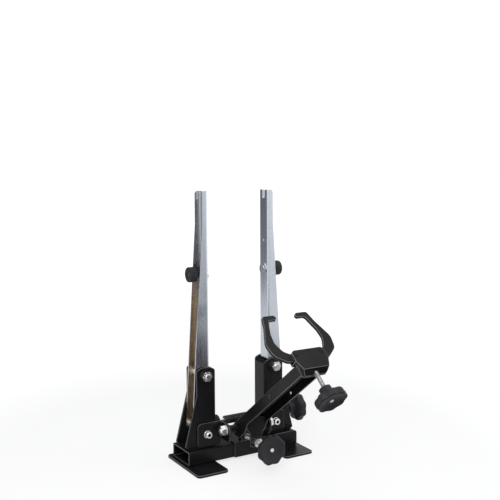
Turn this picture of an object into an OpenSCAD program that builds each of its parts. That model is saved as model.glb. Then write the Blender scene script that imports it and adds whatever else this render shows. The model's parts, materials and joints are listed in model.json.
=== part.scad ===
// Bicycle wheel truing stand.
// A box-tube base carries two uprights that tilt together to clamp an axle, and a caliper
// arm with a pair of jaws. Three lobed knobs drive it through screws: the space between the
// uprights, the height of the arm and the gap of the jaws. X runs along the axle, Y away
// from the user, Z up, in mm. The origin is the middle of the axle. Heights below are above
// the bench.

/* [Axle] */
// Height of the axle above the bench
axle_h = 521; // [480:1:560]
// Space between the uprights
inner_w = 135; // [130:1:142]
// Width of the slots that take the axle ends
axle_slot_w = 10.4; // [10:0.1:12.5]

/* [Base tube and feet] */
// Length of the box tube
tube_l = 248; // [240:1:280]
// Depth of the box tube, front to back
tube_d = 70; // [64:1:84]
// Height of the box tube
tube_h = 28; // [22:1:34]
// Wall of the box tube
tube_wall = 3; // [2:0.5:5]
// Thickness of the foot plates
foot_t = 5; // [4:0.5:8]
// Width of each foot plate
foot_w = 66.5; // [55:0.5:72]
// How far a foot plate reaches past the end of the tube
foot_over = 7; // [2:0.5:12]
// Reach of the foot plates in front of the axle
foot_front = 88; // [80:1:100]
// Reach of the foot plates behind the axle
foot_back = 50; // [44:1:70]
// Corner radius of the foot plates
foot_r = 8; // [3:0.5:12]

/* [Saddle plate on the front of the tube] */
// Sheet of the saddle plate
saddle_t = 3; // [2:0.5:4]
// Half width of the flange that lies on the tube
saddle_half_w = 24; // [18:1:30]
// Depth of the flange that lies on the tube
saddle_flange_d = 25; // [20:1:32]
// Width of the stop lug that the height screw pushes on
lug_w = 18; // [14:1:24]
// Thickness of the stop lug
lug_t = 12; // [8:1:14]
// Height of the stop lug above the saddle
lug_h = 19; // [16:1:24]

/* [Upright brackets] */
// Sheet of the brackets
bracket_t = 4; // [3:0.5:5]
// Outside width of a bracket, front to back
bracket_w = 44; // [42:0.5:50]
// Gap between bracket web and upright, which lets the foot of the upright swing
swing_gap = 7; // [6.5:0.5:9]
// Reach of the bracket sides at the top
bracket_top_w = 42.5; // [38:0.5:48]
// Reach of the bracket sides at the foot
bracket_foot_w = 68; // [60:0.5:72]
// Height of the bracket web above the tube
bracket_web_h = 148; // [140:1:160]

/* [Uprights] */
// Sheet of the uprights
upright_t = 2.5; // [2:0.5:3]
// Width of an upright, front to back
upright_w = 31; // [28:0.5:33]
// Flange width at the top
flange_top_w = 12.5; // [10:0.5:20]
// Flange width at the knee, half way down
flange_knee_w = 29; // [26:0.5:32]
// Height where the flanges start to widen
taper_z = 470; // [440:1:500]
// Height of the knee
knee_z = 220; // [205:1:240]
// Height of the upright above the axle
upright_over = 12; // [10:0.5:16]
// Height of the pivot of the uprights above the bench
pivot_z = 175; // [170:1:180]
// Distance of that pivot from the inner face of the upright
pivot_in = 12; // [11.5:0.5:14]
// Shank of the pivot bolts and of the arm shaft
pivot_d = 12; // [10:0.5:12]
// Height of the small hole in the upright
peep_z = 432; // [400:1:460]
// Diameter of the small hole
peep_d = 5; // [3:0.5:8]

/* [Width screw] */
// Height of the width screw above the bench
rod_z = 72; // [70:1:76]
// Diameter of the width screw
rod_d = 10; // [8:0.5:10]
// Distance of the trunnions from the inner face of the upright
trunnion_in = 25.5; // [24:0.5:28]
// Diameter of the trunnions
trunnion_d = 16; // [16:0.5:18]
// Play of the screw in a trunnion, which swings a little as the upright tilts
trunnion_play = 1; // [0.9:0.1:1.5]
// Material round a trunnion in the foot of the upright
foot_rim = 4; // [3:0.5:6]
// Diameter of the bushes that carry the screw
bush_d = 28; // [22:1:34]
// Length of those bushes
bush_l = 14.5; // [10:0.5:18]
// Width across flats of the nuts on the screw
rod_nut_af = 17; // [15:0.5:19]
// Thickness of the nuts on the screw
rod_nut_h = 10; // [6:0.5:12]
// Mean diameter of the spring round the screw
spring_d = 15; // [14:0.5:18]
// Wire of the spring
spring_wire = 2.25; // [1:0.25:2.25]
// Turns of the spring
spring_turns = 18; // [8:1:20]
// How far the hub of the width knob lies past the end of the tube
width_knob_gap = 2; // [2:0.5:12]

/* [Knobs] */
// Diameter of the lobed knobs
knob_d = 60; // [50:0.5:61]
// Thickness of the lobed part
knob_t = 18; // [14:0.5:24]
// Diameter of the knob hubs
knob_hub_d = 23; // [18:0.5:26]
// Length of the knob hubs
knob_hub_l = 12.5; // [8:0.5:14]
// Number of lobes
knob_lobes = 8; // [6:1:10]
// Depth of the hollows between the lobes
knob_hollow = 3.4; // [1.5:0.1:4]
// Radius of those hollows
knob_hollow_r = 26; // [12:1:40]
// Depth of the dish in the knob's face
knob_dish = 3.5; // [1:0.5:5]
// Rounding of the knob edges
knob_edge = 3; // [1.5:0.5:4]

/* [Caliper mounts] */
// Sheet of the caliper mounts
ear_t = 4; // [3:0.5:5]
// Space between the two ears
ear_gap = 88; // [82:1:92]
// Outer reach of the mount plates
wing_out = 100; // [92:1:104]
// Height of the mount plates
wing_h = 47; // [40:1:52]
// Lift of the mount plates above the tube
wing_lift = 2; // [1:0.5:6]
// Distance of the mount screws from the middle
mount_screw_x = 79; // [74:0.5:88]
// Height of the mount screws above the bench
mount_screw_z = 59.5; // [52:0.5:66]
// Diameter of the mount screws
mount_screw_d = 8; // [6:0.5:8]
// Depth of the ears in front of the mount plates
ear_reach = 35; // [33:1:42]
// Height of an ear
ear_h = 34; // [30:1:38]

/* [Caliper arm] */
// Distance of the arm shaft in front of the axle
shaft_y = 44; // [42:1:46]
// Height of the arm shaft above the bench
shaft_z = 67; // [65:1:69]
// Slope of the arm
arm_slope = 37; // [34:1:40]
// Length of the arm from its shaft to the jaw plane
arm_l = 276; // [250:1:300]
// Width of the arm
arm_w = 48; // [42:1:54]
// Sheet of the arm
arm_t = 3; // [2:0.5:4]
// Distance from the shaft to the back of the arm
arm_back = 11.7; // [11:0.1:13]
// Distance from the shaft to the open front of the arm
arm_front = 10; // [9:0.5:12]
// Length of the arm behind the shaft
arm_rear = 13.5; // [12:0.5:14]
// Depth of the arm's lugs below the shaft
lug_drop = 20; // [17:0.5:22]
// Length of those lugs in front of the shaft
lug_reach = 24; // [20:1:40]
// Distance of the cross holes from the shaft
cross_at = 155.5; // [100:0.5:200]
// Diameter of the cross holes
cross_d = 6.5; // [4:0.5:8]

/* [Height screw] */
// Distance of the height screw below the arm shaft
screw_drop = 20.5; // [20:0.5:22]
// Diameter of the height screw and the jaw screw
screw_d = 8; // [6:0.5:8]
// Distance of the tail plate in front of the arm shaft
tail_gap = 32; // [28:0.5:36]
// Thickness of the tail plate
tail_t = 4; // [3:0.5:5]
// Thickness of the nut on the tail plate
tail_nut_h = 10; // [8:0.5:12]
// Free screw between that nut and the hub of the knob
height_free = 21; // [16:0.5:26]

/* [Caliper head] */
// Slope of the jaws
jaw_slope = 40; // [36:1:44]
// Height of the jaw plane above the arm's centre line
head_lift = 11; // [9:0.1:12]
// Half width of the head
head_half_w = 34; // [33:0.5:36]
// Height of the head above its centre
head_up = 21; // [20.5:0.5:25]
// Height of the head below its centre
head_down = 26; // [22:0.5:30]
// Thickness of the cover plate and the back plate
head_t = 3; // [2:0.5:4]
// Depth of the space for the jaws, behind their middle
head_deep = 5.8; // [5.6:0.1:8]
// Depth of the space for the jaws, in front of their middle
head_tall = 7.2; // [6:0.1:10]
// Jaw screw between the head and the hub of its knob
jaw_free = 31; // [20:1:40]

/* [Jaws] */
// Thickness of the jaws
jaw_t = 6; // [4:0.5:8]
// Distance of a jaw pivot from the middle
jaw_pivot_x = 27; // [26:0.5:28]
// Distance of a jaw pivot above the head's centre
jaw_pivot_s = 12; // [11.5:0.5:12.5]
// Diameter of the jaw pins
jaw_pin_d = 6; // [5:0.5:6]
// Half gap between the jaw tips
tip_half = 20; // [19.5:0.5:26]
// Reach of the jaw tips above the head's centre
tip_s = 107; // [100:1:116]
// Widest half width of the jaws
jaw_half_w = 69.5; // [66:0.5:74]
// Width of a jaw at its bend
jaw_bend_w = 18.5; // [14:0.5:22]
// Width of a jaw below its tip
jaw_neck_w = 10; // [8:0.5:14]
// Height of a jaw tip
jaw_tip_h = 10.5; // [8:0.5:16]
// Radius of the lever ends that the spreader moves
lever_r = 3; // [2.5:0.1:3.2]

/* [Axle adapters] */
// Height of the stored adapters above the bench
adapter_z = 372.5; // [330:0.5:400]
// Diameter of the adapter flange
adapter_d = 25; // [22:0.5:27]
// Stud of the adapter
adapter_stud_d = 8; // [6:0.5:8]
// Diameter of the adapter thumb nut
thumb_d = 29.5; // [26:0.5:34]
// Thickness of the head of the thumb nut
thumb_t = 15; // [10:0.5:18]

/* [Fits] */
// Radial play of a shank that turns in a bore
run_fit = 0.05; // [0.02:0.01:0.09]
// Gap between flat faces that turn or slide past each other
face_gap = 0.2; // [0.1:0.05:0.5]
// Radial play round a plain screw shank
screw_play = 0.2; // [0.1:0.05:0.3]
// Gap between a rounded tip and what it pushes on
tip_gap = 0.3; // [0.2:0.05:0.5]

/* [Hidden] */
$fn = 64;
cut = 1;                                   // overshoot of a cutting shape
big = 400;                                 // longer than any cut needs
corner_steps = 6;                          // segments in a rounded sheet corner

black = [0.09, 0.09, 0.1];
knob_black = [0.16, 0.16, 0.17];
chrome = [0.72, 0.74, 0.78];
zinc = [0.8, 0.81, 0.83];
steel = [0.55, 0.56, 0.58];

// Base
tube_top = foot_t + tube_h;
foot_out = tube_l / 2 + foot_over;
tube_front = -tube_d / 2;
tube_r = 2.5;
plate_r = 6;

// Bracket, worked outwards from the upright
upright_in = inner_w / 2;
bracket_out_x = upright_in - swing_gap;
bracket_in_x = bracket_out_x - bracket_t;
pivot_x = upright_in + pivot_in;
bracket_web_z = tube_top + bracket_web_h;
bracket_peak_z = pivot_z + 16.5;
bracket_knee_z = tube_top + 105;
bracket_foot_z = tube_top + 6;

// Upright
upright_top = axle_h + upright_over;
trunnion_x = upright_in + trunnion_in;
foot_end_r = trunnion_d / 2 + foot_rim;
flange_in_y = upright_w / 2 - upright_t;
side_gap = (bracket_w - upright_w) / 2 - bracket_t;

// Bolts, nuts and washers share these proportions
pivot_nut_af = 18;
pivot_nut_h = 8;
washer_t = 2;
washer_d = 29;
thrust_washer_d = 23;
mount_washer_t = 1.5;
mount_socket_af = mount_screw_d * 0.8;
bolt_face = bracket_w / 2 + washer_t;
bolt_proud = 2;                             // thread that shows past a nut
bolt_chamfer = 1;
hex_chamfer = 0.06;                        // of the width across flats
spacer_d = 16;
shaft_nut_h = 10;
shaft_head_h = 7.5;
shaft_washer_d = 22;

// Width screw
bush_end = bracket_in_x - bush_l;
rod_nut_end = bush_end - face_gap - rod_nut_h;
rod_hole_play = 0.5;
web_hole_d = rod_d + 6;
rod_left = trunnion_x + trunnion_d / 2 + 3;
width_knob_x = tube_l / 2 + width_knob_gap;
spring_sides = 6;
spring_rings = 8;                          // rings in each turn
spring_half_l = rod_nut_end;
bend_steps = 3;
bend_seg = 2;                              // length of wire in each step of the bend
knob_bore_l = knob_hub_l + knob_t - knob_dish;  // length of a knob's bore
screw_proud = 0.5;

// Arm and its shaft
ear_in_x = ear_gap / 2;
ear_out_x = ear_in_x + ear_t;
wing_z = tube_top + wing_lift;
wing_back = -bracket_w / 2;
wing_front = wing_back - ear_t;
ear_end_r = 12;
arm_in = arm_w / 2 - arm_t;
past_head = 20;                            // arm drawn past the head, then cut at its back
shaft_end_x = ear_out_x + washer_t + shaft_nut_h + bolt_proud;

// Height screw, along Y
screw_z = shaft_z - screw_drop;
lug_front = tube_front - saddle_t;
pad_tip_y = lug_front - tip_gap;
pad_d = 11;
pad_l = 6.2;
pad_dome_r = 6;
spigot_l = 2.8;
tail_back = -shaft_y - tail_gap;
tail_front = tail_back - tail_t;
tail_low = screw_z - 10.5;
tail_high = tail_low + 64;
tail_neck_half = 13;
tail_neck_z = tail_low + 28;
tail_wide_z = tail_low + 38;
tail_nut_af = 16;
height_knob_y = tail_front - tail_nut_h - height_free;

// Head: local Y climbs the jaws, local Z is the plane's normal
jaw_mid = 1.8;
head_floor = jaw_mid - head_deep;
head_ceil = jaw_mid + head_tall;
head_face = head_ceil + head_t;
head_under = head_floor - head_t;
head_wall_s = 1;
cavity_half_top = 31;
cavity_half_mid = 24;
cavity_half_low = 20;
cavity_side_s = 1.5;
cavity_mid_s = -0.5;
cavity_low = -8;
mouth_x = 30;                              // the jaws leave the head past here
thread_edge = 6;                           // height of the sloped lower edge of the cover
head_low_half = 24;
head_back_half = arm_w / 2 + 0.5;          // half width of the head where it meets the arm
slope_top = 1;                             // how far below the centre the sloped sides begin
top_wall = 2;
top_wall_half = 15;
jaw_boss_r = 9;
pin_head_r = 4.5;
pin_head_h = 1.5;

// Jaw levers and the spreader that moves them
lever_x = 7.5;
lever_s = jaw_pivot_s - 4;
lever_half = 2;
lever_play = 0.25;
spreader_half_w = 10;
spreader_web_half = 2.6;
spreader_half_n = 5;
spreader_top_t = 3;
spreader_low_t = 7;
slot_half = lever_r + lever_play;
bend_s = 46;
shoulder_x = 54;
shoulder_s = 84;
spreader_low = lever_s - slot_half - spreader_low_t;
spreader_high = lever_s + slot_half + spreader_top_t;
neck_d = screw_d - 2;
neck_l = 2.25;
collar_d = screw_d + 1;
collar_l = 2.8;
collar_pocket = collar_l + 2 * face_gap;
jaw_knob_s = head_down + jaw_free;

// Adapters
adapter_steps = [[adapter_d, 2.5], [15, 1.5]];
thumb_gap = 19;
thumb_hub_d = 14;
stud_past_web = thumb_gap + thumb_t - 2;

// ---- Outlines with rounded corners ----

function unit(v) = v / norm(v);
function heading(v) = atan2(v[1], v[0]);
function turn_between(a, b) = (b - a + 540) % 360 - 180;

// The arc of radius r that rounds corner q between its neighbours p and s
function corner(p, q, s, r) =
    let (u = unit(p - q), v = unit(s - q),
         half = acos(u * v) / 2,
         mid = q + unit(u + v) * r / sin(half),
         from = heading(q + u * r / tan(half) - mid),
         to = heading(q + v * r / tan(half) - mid),
         turn = turn_between(from, to))
    [for (i = [0 : corner_steps])
        mid + r * [cos(from + turn * i / corner_steps), sin(from + turn * i / corner_steps)]];

// An outline of [x, y, corner radius] points
function rounded(pts) =
    let (n = len(pts), xy = [for (p = pts) [p[0], p[1]]])
    [for (i = [0 : n - 1])
        each (pts[i][2] == 0 ? [xy[i]]
            : corner(xy[(i + n - 1) % n], xy[i], xy[(i + 1) % n], pts[i][2]))];

// ---- Frames ----

// Heights in the modules are above the bench; the part's origin is the axle
module bench() translate([0, 0, -axle_h]) children();
module side(s) mirror([s < 0 ? 1 : 0, 0, 0]) children();
module both_sides() for (s = [-1, 1]) side(s) children();
module along_x() rotate([0, 90, 0]) children();
module along_y() rotate([-90, 0, 0]) children();

// Outline in X and Z, extruded from y0 to y1
module plate_xz(y0, y1) translate([0, y1, 0]) rotate([90, 0, 0])
    linear_extrude(y1 - y0) children();

// Outline in Y and Z, extruded from x0 to x1
module plate_yz(x0, x1) translate([x0, 0, 0]) rotate([90, 0, 90])
    linear_extrude(x1 - x0) children();

// Along the arm: local -Y runs from the shaft to the head, local Z is the arm's back
module arm_frame() bench() translate([0, -shaft_y, shaft_z])
    rotate([-arm_slope, 0, 0]) children();

module head_frame() arm_frame() translate([0, -arm_l, head_lift])
    rotate([arm_slope + jaw_slope, 0, 0]) children();

// ---- Shapes that repeat ----

module ring(od, id, h) difference() {
    cylinder(d = od, h = h);
    translate([0, 0, -cut]) cylinder(d = id, h = h + 2 * cut);
}

// A bar with its two ends chamfered
module barrel(d, h, chamfer) rotate_extrude()
    polygon([[0, 0], [d / 2 - chamfer, 0], [d / 2, chamfer], [d / 2, h - chamfer],
        [d / 2 - chamfer, h], [0, h]]);

module hex_head(af, h) intersection() {
    cylinder(d = af / cos(30), h = h, $fn = 6);
    barrel(af / cos(30), h, af * hex_chamfer);
}

module hex_nut(af, h, bore) difference() {
    hex_head(af, h);
    translate([0, 0, -cut]) cylinder(d = bore, h = h + 2 * cut);
}

// Lobed knob on the Z axis, its hub from 0 up and its face at hub + body
module knob() {
    top = knob_hub_l + knob_t;
    difference() {
        union() {
            cylinder(d = knob_hub_d, h = knob_hub_l + cut);
            translate([0, 0, knob_hub_l]) difference() {
                rotate_extrude() polygon(rounded([[0, 0, 0], [knob_d / 2, 0, knob_edge],
                    [knob_d / 2, knob_t, knob_edge], [0, knob_t, 0]]));
                for (i = [0 : knob_lobes - 1]) rotate(i * 360 / knob_lobes)
                    translate([knob_d / 2 + knob_hollow_r - knob_hollow, 0, -cut])
                        cylinder(r = knob_hollow_r, h = knob_t + 2 * cut);
            }
        }
        translate([0, 0, top - knob_dish])
            cylinder(r1 = knob_hub_d / 2, r2 = knob_d / 2 - 2 * knob_edge, h = knob_dish);
        translate([0, 0, top - knob_edge / 10])
            cylinder(r = knob_d / 2 - 2 * knob_edge, h = cut);
        translate([0, 0, -cut]) cylinder(d = screw_d + 2 * run_fit, h = top + 2 * cut);
    }
}

// ---- Base ----

module base_tube() color(black) bench() {
    mid_z = foot_t + tube_h / 2;
    inner_d = tube_d - 2 * tube_wall;
    inner_h = tube_h - 2 * tube_wall;
    plate_yz(-tube_l / 2, tube_l / 2) difference() {
        polygon(rounded([[-tube_d / 2, foot_t, tube_r], [tube_d / 2, foot_t, tube_r],
            [tube_d / 2, tube_top, tube_r], [-tube_d / 2, tube_top, tube_r]]));
        translate([-inner_d / 2, mid_z - inner_h / 2]) square([inner_d, inner_h]);
    }
}

module foot_plate(s) color(black) bench() side(s) linear_extrude(foot_t)
    polygon(rounded([[foot_out - foot_w, -foot_front, foot_r], [foot_out, -foot_front, foot_r],
        [foot_out, foot_back, foot_r], [foot_out - foot_w, foot_back, foot_r]]));

module foot_plate_left() foot_plate(-1);
module foot_plate_right() foot_plate(1);

// Front plate folded over the top of the tube
module saddle_plate() color(black) bench() {
    top_z = tube_top + saddle_t;
    plate_xz(tube_front - saddle_t, tube_front)
        polygon(rounded([[-saddle_half_w, foot_t, 0], [tube_l / 2, foot_t, plate_r],
            [tube_l / 2, top_z, plate_r], [-saddle_half_w, top_z, 0]]));
    translate([-saddle_half_w, tube_front, tube_top])
        cube([2 * saddle_half_w, saddle_flange_d, saddle_t]);
}

module stop_lug() color(black) bench() {
    foot_z = tube_top + saddle_t;
    plate_xz(lug_front, lug_front + lug_t)
        polygon(rounded([[-lug_w / 2, foot_z, 0], [lug_w / 2, foot_z, 0],
            [lug_w / 2, foot_z + lug_h, 4], [-lug_w / 2, foot_z + lug_h, 4]]));
}

// Channel with its web towards the middle and its sides opening outwards
module bracket(s) color(black) bench() side(s) difference() {
    intersection() {
        plate_xz(-bracket_w / 2, bracket_w / 2)
            polygon(rounded([[bracket_in_x, tube_top, 0], [bracket_in_x, bracket_web_z, 1],
                [bracket_in_x + 3.5, bracket_web_z + 6, 4], [pivot_x - 9, bracket_peak_z, 8],
                [pivot_x + 9, bracket_peak_z, 8],
                [bracket_in_x + bracket_top_w, bracket_peak_z - 5, 3],
                [bracket_in_x + bracket_top_w, bracket_knee_z, 10],
                [bracket_in_x + bracket_foot_w, bracket_foot_z, 4],
                [bracket_in_x + bracket_foot_w - 7, tube_top, 0]]));
        linear_extrude(big) difference() {
            polygon(rounded([[bracket_in_x, -bracket_w / 2, 6], [big, -bracket_w / 2, 0],
                [big, bracket_w / 2, 0], [bracket_in_x, bracket_w / 2, 6]]));
            polygon(rounded([[bracket_out_x, bracket_t - bracket_w / 2, 2],
                [big + cut, bracket_t - bracket_w / 2, 0],
                [big + cut, bracket_w / 2 - bracket_t, 0],
                [bracket_out_x, bracket_w / 2 - bracket_t, 2]]));
        }
    }
    translate([pivot_x, -bracket_w, pivot_z]) along_y()
        cylinder(d = pivot_d + 2 * screw_play, h = 2 * bracket_w);
    translate([bracket_in_x - cut, 0, rod_z]) along_x()
        cylinder(d = rod_d + 2 * rod_hole_play, h = bracket_t + 2 * cut);
    translate([mount_screw_x, -bracket_w / 2 - cut, mount_screw_z]) along_y()
        cylinder(d = mount_screw_d + 2 * run_fit, h = bracket_t + 2 * cut);
}

module bracket_left() bracket(-1);
module bracket_right() bracket(1);

// Bushes on the inner faces of the bracket webs, in which the width screw turns
module rod_bushes() color(black) bench() both_sides()
    translate([bush_end, 0, rod_z]) along_x() difference() {
        barrel(bush_d, bush_l, 1);
        translate([0, 0, -cut]) cylinder(d = rod_d + 2 * run_fit, h = bush_l + 2 * cut);
    }

// Plate on the bracket that bends forward into an ear for the arm shaft
module caliper_mount(s) color(black) bench() side(s) {
    ear_back = wing_front + ear_t;
    ear_tip = wing_back - ear_t - ear_reach;
    ear_top = wing_z + wing_h - 2;
    difference() {
        intersection() {
            translate([0, 0, wing_z]) linear_extrude(wing_h)
                polygon(rounded([[ear_in_x, ear_tip - cut, 0], [ear_out_x, ear_tip - cut, 0],
                    [ear_out_x, wing_front, 2], [wing_out, wing_front, 0],
                    [wing_out, wing_back, 0], [ear_in_x, wing_back, 2 + ear_t]]));
            union() {
                plate_xz(wing_front - cut, wing_back + cut)
                    polygon(rounded([[ear_in_x, wing_z, 8], [wing_out, wing_z, 8],
                        [wing_out, wing_z + wing_h, 8], [ear_in_x, wing_z + wing_h, 3]]));
                plate_yz(ear_in_x - cut, ear_out_x + cut)
                    polygon(rounded([[ear_back, ear_top - ear_h, 0], [ear_back, ear_top, 0],
                        [ear_tip, ear_top, ear_end_r - 1], [ear_tip, ear_top - ear_h, ear_end_r]]));
            }
        }
        translate([ear_in_x - cut, -shaft_y, shaft_z]) along_x()
            cylinder(d = pivot_d + 2 * screw_play, h = ear_t + 2 * cut);
        translate([mount_screw_x, wing_front - cut, mount_screw_z]) along_y()
            cylinder(d = mount_screw_d + 2 * screw_play, h = ear_t + 2 * cut);
    }
}

module caliper_mount_left() caliper_mount(-1);
module caliper_mount_right() caliper_mount(1);

// Socket head screws that hold the caliper mounts
module mount_screws() color(zinc) bench() both_sides()
    translate([mount_screw_x, wing_front - mount_washer_t, mount_screw_z]) along_y() {
        head_h = mount_screw_d;
        reach = mount_washer_t + ear_t + bracket_t - face_gap;
        cylinder(d = mount_screw_d, h = reach);
        difference() {
            translate([0, 0, -head_h]) barrel(mount_screw_d * 1.625, head_h, 0.8);
            translate([0, 0, -head_h - cut])
                cylinder(d = mount_socket_af / cos(30), h = head_h * 0.7 + cut, $fn = 6);
        }
    }

module mount_washers() color(zinc) bench() both_sides()
    translate([mount_screw_x, wing_front - mount_washer_t, mount_screw_z]) along_y()
        ring(mount_screw_d * 1.9, mount_screw_d + 2 * screw_play, mount_washer_t);

// ---- Pivots of the uprights ----

module pivot_bolts() color(zinc) bench() both_sides() translate([pivot_x, 0, pivot_z]) {
    end = bolt_face + pivot_nut_h + bolt_proud;
    translate([0, -end, 0]) along_y() barrel(pivot_d, end, bolt_chamfer);
    translate([0, -cut, 0]) along_y() cylinder(d = pivot_d, h = bolt_face + cut);
    translate([0, bolt_face, 0]) along_y() hex_head(pivot_nut_af, pivot_nut_h);
}

module pivot_nuts() color(zinc) bench() both_sides()
    translate([pivot_x, -bolt_face - pivot_nut_h, pivot_z]) along_y()
        hex_nut(pivot_nut_af, pivot_nut_h, pivot_d + 2 * run_fit);

module pivot_washers() color(black) bench() both_sides() for (y = [-bolt_face, bracket_w / 2])
    translate([pivot_x, y, pivot_z]) along_y()
        ring(washer_d, pivot_d + 2 * screw_play, washer_t);

// Washers that keep the uprights in the middle of their brackets
module thrust_washers() color(steel) bench() both_sides()
    for (y = [-upright_w / 2 - side_gap, upright_w / 2 + face_gap])
        translate([pivot_x, y, pivot_z]) along_y()
            ring(thrust_washer_d, pivot_d + 2 * screw_play, side_gap - face_gap);

module pivot_spacers() color(zinc) bench() both_sides()
    translate([pivot_x, -flange_in_y + face_gap, pivot_z]) along_y()
        ring(spacer_d, pivot_d + 2 * screw_play, 2 * (flange_in_y - face_gap));

// ---- Arm shaft ----

module arm_shaft() color(zinc) bench() translate([0, -shaft_y, shaft_z]) {
    translate([-shaft_end_x, 0, 0]) along_x() barrel(pivot_d, shaft_end_x, bolt_chamfer);
    translate([-cut, 0, 0]) along_x() cylinder(d = pivot_d, h = ear_out_x + washer_t + cut);
    translate([ear_out_x + washer_t, 0, 0]) along_x() hex_head(pivot_nut_af, shaft_head_h);
}

module arm_shaft_nut() color(zinc) bench()
    translate([-ear_out_x - washer_t - shaft_nut_h, -shaft_y, shaft_z]) along_x()
        hex_nut(pivot_nut_af, shaft_nut_h, pivot_d + 2 * run_fit);

module arm_shaft_washers() color(zinc) bench() both_sides()
    translate([ear_out_x, -shaft_y, shaft_z]) along_x()
        ring(shaft_washer_d, pivot_d + 2 * screw_play, washer_t);

// Sleeves on the shaft, beside the arm and inside it
module arm_spacers() color(black) bench() {
    both_sides() translate([arm_w / 2 + face_gap, -shaft_y, shaft_z]) along_x()
        ring(spacer_d, pivot_d + 2 * screw_play, ear_in_x - arm_w / 2 - face_gap);
    translate([-arm_in + face_gap, -shaft_y, shaft_z]) along_x()
        ring(spacer_d, pivot_d + 2 * screw_play, 2 * (arm_in - face_gap));
}

// ---- Uprights ----

// Channel with its web towards the middle; the flanges widen towards the foot
module upright(s) color(chrome) bench() side(s) difference() {
    intersection() {
        plate_xz(-upright_w / 2, upright_w / 2) union() {
            polygon(rounded([[upright_in, rod_z - foot_end_r, 2],
                [trunnion_x, rod_z - foot_end_r, 0], [trunnion_x + foot_end_r, rod_z, 0],
                [upright_in + flange_knee_w, knee_z, 0],
                [upright_in + flange_top_w, taper_z, 0],
                [upright_in + flange_top_w, upright_top, 6], [upright_in, upright_top, 0]]));
            translate([trunnion_x, rod_z]) circle(r = foot_end_r);
        }
        linear_extrude(2 * big) difference() {
            polygon(rounded([[upright_in, -upright_w / 2, 4], [big, -upright_w / 2, 0],
                [big, upright_w / 2, 0], [upright_in, upright_w / 2, 4]]));
            polygon(rounded([[upright_in + upright_t, -flange_in_y, 1.5],
                [big + cut, -flange_in_y, 0], [big + cut, flange_in_y, 0],
                [upright_in + upright_t, flange_in_y, 1.5]]));
        }
    }
    through_web = upright_t + 2 * cut;
    translate([upright_in - cut, 0, axle_h]) along_x()
        cylinder(d = axle_slot_w, h = through_web);
    translate([upright_in - cut, -axle_slot_w / 2, axle_h])
        cube([through_web, axle_slot_w, upright_over + cut]);
    translate([upright_in - cut, 0, peep_z]) along_x() cylinder(d = peep_d, h = through_web);
    translate([upright_in - cut, 0, adapter_z]) along_x()
        cylinder(d = adapter_stud_d + 2 * screw_play, h = through_web);
    translate([upright_in - cut, 0, rod_z]) along_x()
        cylinder(d = web_hole_d, h = through_web);
    translate([pivot_x, -upright_w, pivot_z]) along_y()
        cylinder(d = pivot_d + 2 * run_fit, h = 2 * upright_w);
    translate([trunnion_x, -upright_w, rod_z]) along_y()
        cylinder(d = trunnion_d + 2 * run_fit, h = 2 * upright_w);
}

module upright_left() upright(-1);
module upright_right() upright(1);

// Flanged end for a wide axle, stored on the upright
module adapter_pin(s) color(chrome) bench() side(s)
    translate([upright_in, 0, adapter_z]) rotate([0, -90, 0]) {
        reach = [for (i = 0, z = 0; i <= len(adapter_steps); z = z
            + (i < len(adapter_steps) ? adapter_steps[i][1] : 0), i = i + 1) z];
        for (i = [0 : len(adapter_steps) - 1]) translate([0, 0, reach[i]])
            cylinder(d1 = adapter_steps[i][0], d2 = adapter_steps[i][0] - 1,
                h = adapter_steps[i][1]);
        translate([0, 0, -upright_t - stud_past_web])
            cylinder(d = adapter_stud_d, h = upright_t + stud_past_web);
    }

module adapter_pin_left() adapter_pin(-1);
module adapter_pin_right() adapter_pin(1);

module adapter_nut(s) color(knob_black) bench() side(s)
    translate([upright_in + upright_t, 0, adapter_z]) along_x() difference() {
        union() {
            cylinder(d = thumb_hub_d, h = thumb_gap + cut);
            translate([0, 0, thumb_gap]) barrel(thumb_d, thumb_t, 1.5);
        }
        translate([0, 0, -cut])
            cylinder(d = adapter_stud_d + 2 * run_fit, h = stud_past_web + face_gap + cut);
    }

module adapter_nut_left() adapter_nut(-1);
module adapter_nut_right() adapter_nut(1);

// ---- Width screw ----

module trunnion(s) color(steel) bench() side(s) translate([trunnion_x, 0, rod_z]) {
    half_l = bracket_w / 2 - bracket_t - 1;
    difference() {
        translate([0, -half_l, 0]) along_y() barrel(trunnion_d, 2 * half_l, 0.8);
        translate([-trunnion_d, 0, 0]) along_x()
            cylinder(d = rod_d + 2 * trunnion_play, h = 2 * trunnion_d);
    }
}

module trunnion_left() trunnion(-1);
module trunnion_right() trunnion(1);

module width_rod() color(zinc) bench() {
    knob_face = width_knob_x + knob_bore_l + screw_proud;
    neck_x = width_knob_x - 1;
    translate([-rod_left, 0, rod_z]) along_x() cylinder(d = rod_d, h = rod_left + neck_x);
    translate([neck_x, 0, rod_z]) along_x() cylinder(d = screw_d, h = knob_face - neck_x);
}

module rod_nuts() color(zinc) bench() both_sides()
    translate([rod_nut_end, 0, rod_z]) along_x()
        hex_nut(rod_nut_af, rod_nut_h, rod_d + 2 * run_fit);

module width_knob() color(knob_black) bench()
    translate([width_knob_x, 0, rod_z]) along_x() knob();

// ---- Spring: one wire, its ends straight, then a bend into the coil ----

// Axial and circumferential run of the wire at the end, from straight to coiled
function bend_run(i) = i == 0 ? [0, 0]
    : bend_run(i - 1) + bend_seg * [cos(90 * i / (bend_steps + 1)), sin(90 * i / (bend_steps + 1))];
bend_end = bend_run(bend_steps);
bend_turn = bend_end[1] / (spring_d / 2) * 180 / PI;
coil_l = 2 * (spring_half_l - spring_wire - bend_end[0]);

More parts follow.
